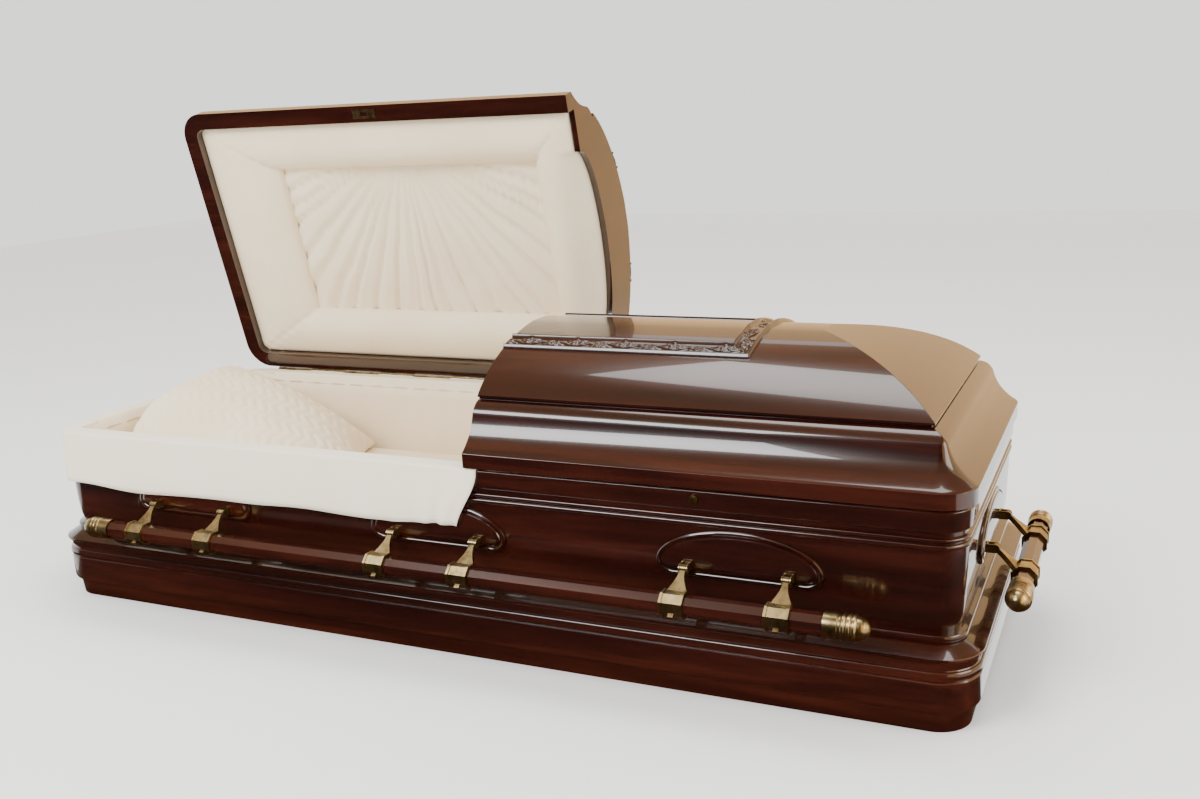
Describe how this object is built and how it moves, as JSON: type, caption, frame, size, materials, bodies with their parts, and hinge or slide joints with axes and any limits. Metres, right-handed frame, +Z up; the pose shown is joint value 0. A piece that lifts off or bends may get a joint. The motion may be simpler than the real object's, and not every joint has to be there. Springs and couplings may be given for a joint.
{
  "type": "funeral casket",
  "caption": "Polished wooden half-couch casket with a two-part domed lid, swing-bar handles and a cushioned fabric interior.",
  "frame": {"origin": "centre of the flat underside, on the floor", "axes": "+X along the length from the head end to the foot end, -Y out of the front with the drape, +Z up"},
  "size_m": [2.231, 0.9608, 1.099],
  "materials": {
    "polished_wood": "high gloss red-brown lacquer",
    "plate_wood": "high gloss dark lacquer",
    "crepe": "soft cream crepe, gathered and padded",
    "velvet": "soft cream velvet",
    "antique_brass": "antique brass, softly polished"
  },
  "bodies": {
    "casket": {"casket_base": "polished_wood", "side_lining": "crepe", "mattress": "crepe", "pillow": "crepe", "rim_drape": "velvet", "keyhole_escutcheon": "antique_brass", "hinge_base_leaf": "antique_brass", "plate_front_head": "plate_wood", "plate_front_mid": "plate_wood", "plate_front_foot": "plate_wood", "plate_back_head": "plate_wood", "plate_back_mid": "plate_wood", "plate_back_foot": "plate_wood", "plate_head_end": "plate_wood", "plate_foot_end": "plate_wood", "lugs_front_head": "antique_brass", "lugs_front_mid": "antique_brass", "lugs_front_foot": "antique_brass", "lugs_back_head": "antique_brass", "lugs_back_mid": "antique_brass", "lugs_back_foot": "antique_brass", "lugs_head_end": "antique_brass", "lugs_foot_end": "antique_brass"},
    "head_lid": {"head_lid": "polished_wood", "head_lid_rolls": "crepe", "head_lid_panel": "crepe", "latch_plate": "antique_brass", "head_lid_hinge": "antique_brass"},
    "foot_lid": {"foot_lid": "polished_wood", "foot_lid_lining": "crepe", "foot_lid_hinge": "antique_brass"},
    "front_handle": {"front_bar": "polished_wood", "front_cap_head": "antique_brass", "front_cap_foot": "antique_brass", "front_arm_1": "antique_brass", "front_arm_2": "antique_brass", "front_arm_3": "antique_brass", "front_arm_4": "antique_brass", "front_arm_5": "antique_brass", "front_arm_6": "antique_brass"},
    "back_handle": {"back_bar": "polished_wood", "back_cap_head": "antique_brass", "back_cap_foot": "antique_brass", "back_arm_1": "antique_brass", "back_arm_2": "antique_brass", "back_arm_3": "antique_brass", "back_arm_4": "antique_brass", "back_arm_5": "antique_brass", "back_arm_6": "antique_brass"},
    "head_end_handle": {"head_end_bar": "polished_wood", "head_end_cap_front": "antique_brass", "head_end_cap_back": "antique_brass", "head_end_arm_1": "antique_brass", "head_end_arm_2": "antique_brass"},
    "foot_end_handle": {"foot_end_bar": "polished_wood", "foot_end_cap_front": "antique_brass", "foot_end_cap_back": "antique_brass", "foot_end_arm_1": "antique_brass", "foot_end_arm_2": "antique_brass"}
  },
  "joints": [
    {"name": "head_lid_swing", "type": "hinge", "parent": "casket", "child": "head_lid", "pos_m": [0, 0.36, 0.396], "axis": [1, 0, 0], "range_deg": [0, 76]},
    {"name": "foot_lid_swing", "type": "hinge", "parent": "casket", "child": "foot_lid", "pos_m": [0, 0.36, 0.396], "axis": [-1, 0, 0], "range_deg": [0, 76]},
    {"name": "front_handle_swing", "type": "hinge", "parent": "casket", "child": "front_handle", "pos_m": [0, -0.364, 0.248], "axis": [-1, 0, 0], "range_deg": [0, 45]},
    {"name": "back_handle_swing", "type": "hinge", "parent": "casket", "child": "back_handle", "pos_m": [0, 0.364, 0.248], "axis": [1, 0, 0], "range_deg": [0, 45]},
    {"name": "head_end_handle_swing", "type": "hinge", "parent": "casket", "child": "head_end_handle", "pos_m": [-1.039, 0, 0.248], "axis": [0, 1, 0], "range_deg": [0, 45]},
    {"name": "foot_end_handle_swing", "type": "hinge", "parent": "casket", "child": "foot_end_handle", "pos_m": [1.039, 0, 0.248], "axis": [0, -1, 0], "range_deg": [0, 45]}
  ]
}
